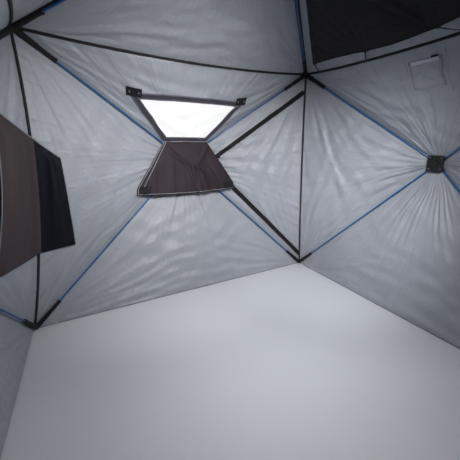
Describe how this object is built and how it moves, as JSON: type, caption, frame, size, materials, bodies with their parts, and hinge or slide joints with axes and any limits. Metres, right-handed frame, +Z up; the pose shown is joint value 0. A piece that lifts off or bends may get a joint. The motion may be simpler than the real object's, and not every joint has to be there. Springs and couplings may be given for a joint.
{
  "type": "pop-up ice fishing hut",
  "caption": "Square pop-up hub shelter for ice fishing, with pushed-out cloth walls and roof on crossed poles, film windows and a zipped triangular door.",
  "frame": {"origin": "middle of the footprint on the ground", "axes": "+Z up, +Y from the middle toward the back wall that has the door, +X to the right seen from inside"},
  "size_m": [2.6986, 2.6986, 2.1293],
  "materials": {
    "shell_cloth": "satin",
    "lining_cloth": "satin",
    "fibreglass": "gloss",
    "hub_plastic": "matte",
    "cover_cloth": "matte",
    "window_film": "gloss",
    "black_cloth": "matte",
    "hook_tape": "matte",
    "webbing": "matte"
  },
  "bodies": {
    "hut": {"back_hub": "hub_plastic", "back_wall_bottom": "shell_cloth", "back_wall_hinge_strip": "shell_cloth", "back_wall_left": "shell_cloth", "back_wall_over_door": "shell_cloth", "back_wall_poles": "fibreglass", "back_wall_top": "shell_cloth", "back_wall_under_door": "shell_cloth", "base_corner_pockets": "webbing", "corner_bindings": "webbing", "corner_pocket": "cover_cloth", "door_zip_tapes": "webbing", "eaves_bindings": "webbing", "front_hub": "hub_plastic", "front_wall_bottom": "shell_cloth", "front_wall_left": "shell_cloth", "front_wall_poles": "fibreglass", "front_wall_right": "shell_cloth", "front_wall_top": "shell_cloth", "gear_loft": "black_cloth", "left_hub": "hub_plastic", "left_wall_back": "shell_cloth", "left_wall_bottom": "shell_cloth", "left_wall_front": "shell_cloth", "left_wall_poles": "fibreglass", "left_wall_top": "shell_cloth", "loft_straps": "webbing", "pull_tabs": "webbing", "right_hub": "hub_plastic", "right_wall_back": "shell_cloth", "right_wall_bottom": "shell_cloth", "right_wall_front": "shell_cloth", "right_wall_poles": "fibreglass", "right_wall_top": "shell_cloth", "roof_back": "shell_cloth", "roof_front": "shell_cloth", "roof_hub": "hub_plastic", "roof_left": "shell_cloth", "roof_poles": "fibreglass", "roof_right": "shell_cloth", "skirt": "black_cloth", "top_corner_pockets": "webbing", "vent_flaps": "lining_cloth", "window_flaps": "cover_cloth", "window_frames": "hook_tape", "window_panes": "window_film"},
    "door_leaf": {"door": "shell_cloth"}
  },
  "joints": [
    {"name": "door_swing", "type": "hinge", "parent": "hut", "child": "door_leaf", "pos_m": [1.0525, 1.0525, 0.89], "axis": [0.1083, 0.1083, -0.9882], "range_deg": [0, 110]}
  ]
}
